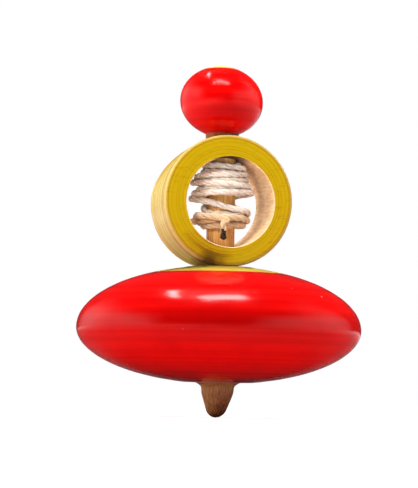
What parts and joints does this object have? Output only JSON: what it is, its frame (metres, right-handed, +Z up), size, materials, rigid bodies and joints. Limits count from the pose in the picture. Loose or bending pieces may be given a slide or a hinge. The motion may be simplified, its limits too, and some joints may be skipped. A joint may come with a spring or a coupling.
{
  "type": "pull-string spinning top",
  "caption": "Lacquered wooden disc top on a pointed tip, spun by pulling a cord wound on its spindle inside a hand-held ring with an oval knob.",
  "frame": {"origin": "lowest point of the tip, on the spin axis", "axes": "+Z up the spin axis to the crown of the knob; the ring's bore runs along Y and the window's front faces -Y; +X is to the right seen from the front"},
  "size_m": [0.0808, 0.0808, 0.1],
  "materials": {
    "red_lacquer": "high gloss lacquer rubbed on turned wood",
    "yellow_lacquer": "satin to gloss lacquer rubbed on turned wood, grain showing through",
    "bare_wood": "smooth bare wood with fine grain",
    "cord": "twisted cord with a slight sheen"
  },
  "bodies": {
    "rotor": {"top_body": "red_lacquer", "spindle": "bare_wood"},
    "coil": {"string_coil": "cord"},
    "handle": {"handle_ring": "yellow_lacquer", "handle_knob": "red_lacquer", "knob_peg": "bare_wood"},
    "string_end": {"string_tail": "cord"}
  },
  "joints": [
    {"name": "handle_lift", "type": "slide", "parent": "rotor", "child": "coil", "axis": [0, 0, 1], "range_m": [0, 0.045]},
    {"name": "rotor_spin", "type": "hinge", "parent": "coil", "child": "handle", "pos_m": [0, 0, 0], "axis": [0, 0, -1], "continuous": true},
    {"name": "string_pull", "type": "slide", "parent": "handle", "child": "string_end", "axis": [0, -1, 0], "range_m": [0, 0.12]}
  ],
  "couplings": [
    {"joint": "rotor_spin", "follows": "string_pull", "rad_per_m": 157.08}
  ]
}
